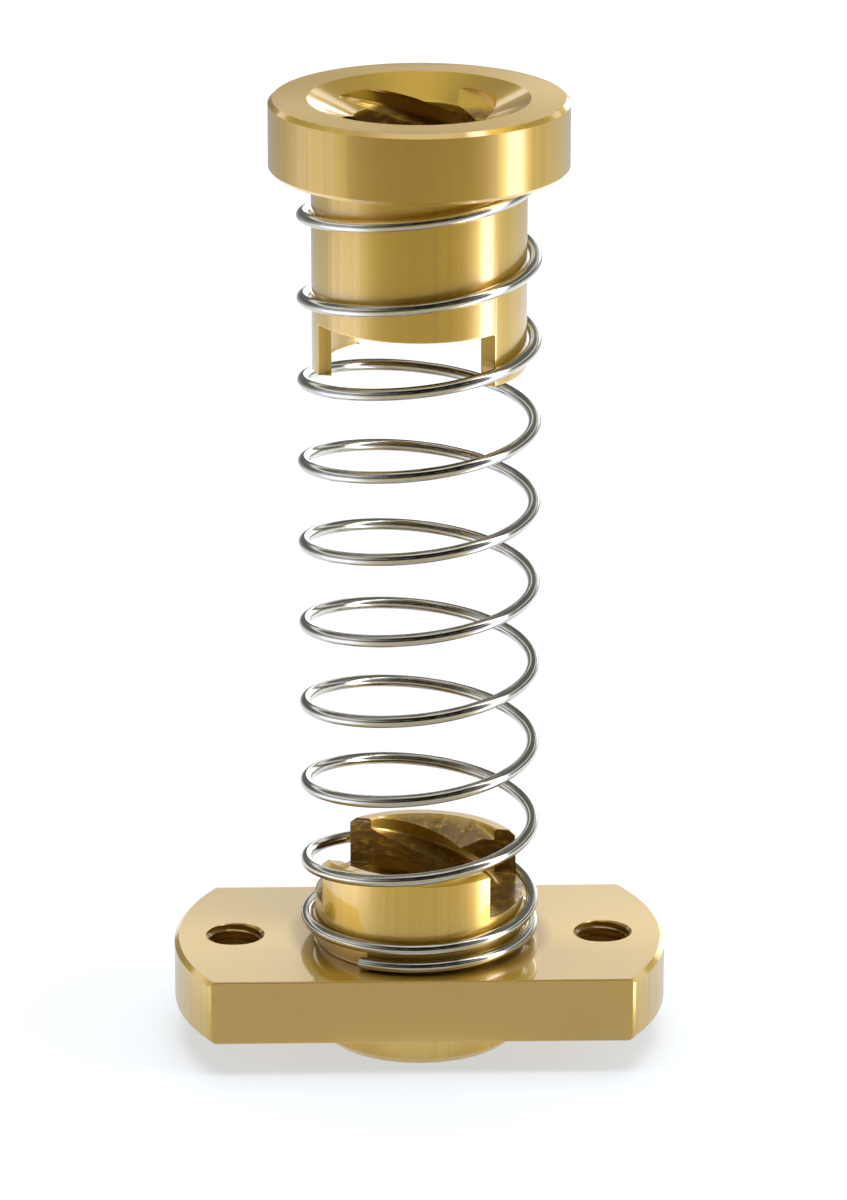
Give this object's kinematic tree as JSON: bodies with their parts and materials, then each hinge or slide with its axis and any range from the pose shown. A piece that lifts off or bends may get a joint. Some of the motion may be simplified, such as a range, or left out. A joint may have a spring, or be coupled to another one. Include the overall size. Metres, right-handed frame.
{
  "type": "lead screw nut",
  "caption": "Spring-loaded anti-backlash nut for a lead screw: a flanged main nut and a headed follower nut on one bore, held apart by a coil spring and keyed by fingers in a slot.",
  "frame": {"origin": "on the screw axis, in the plane of the end of the foot boss that the nut stands on", "axes": "+Z along the screw axis from the flange to the follower, +X along the long side of the flange through both tapped holes, +Y across the flats of the flange"},
  "size_m": [0.024, 0.0142, 0.0469],
  "materials": {
    "flange_nut": "machined",
    "spring": "bright",
    "follower_nut": "machined"
  },
  "bodies": {
    "flange_nut": {"flange_nut": "flange_nut", "spring": "spring"},
    "follower_nut": {"follower_nut": "follower_nut"}
  },
  "joints": [
    {"name": "follower_slide", "type": "slide", "parent": "flange_nut", "child": "follower_nut", "axis": [0, 0, 1], "range_m": [-0.0262, 0], "stiffness_N_per_m": 100, "springref_m": 0.00067, "deforming": ["spring"]}
  ]
}
